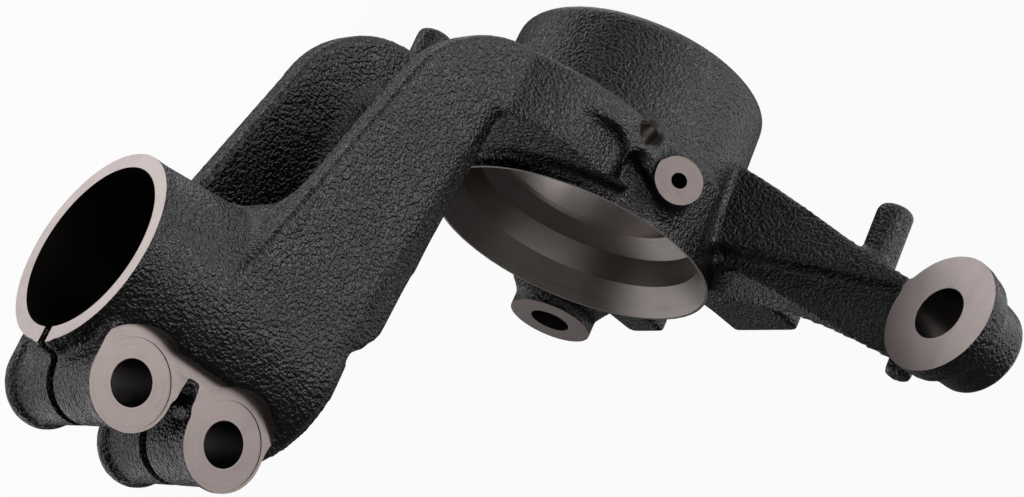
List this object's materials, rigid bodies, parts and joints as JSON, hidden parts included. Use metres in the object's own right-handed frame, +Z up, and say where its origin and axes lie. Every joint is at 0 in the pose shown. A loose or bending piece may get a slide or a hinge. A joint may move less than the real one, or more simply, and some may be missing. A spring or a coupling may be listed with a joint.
{
  "type": "steering knuckle",
  "caption": "Cast steering knuckle: bored bearing hub, bent channel neck up to a split strut clamp with pinch-bolt ears, steering arm with a tapered eye, caliper lugs.",
  "frame": {"origin": "middle of the wheel bearing's seat, on the hub axis", "axes": "+Y along the hub axis towards the wheel, +Z up along the strut clamp's bore, +X towards the end of the steering arm"},
  "size_m": [0.2233, 0.2215, 0.2492],
  "materials": {
    "casting": "black paint on rough sand-cast ductile iron; bores, bolt faces and the eye's top are bare machined iron"
  },
  "bodies": {
    "root": {"knuckle_casting": "casting"}
  },
  "joints": []
}
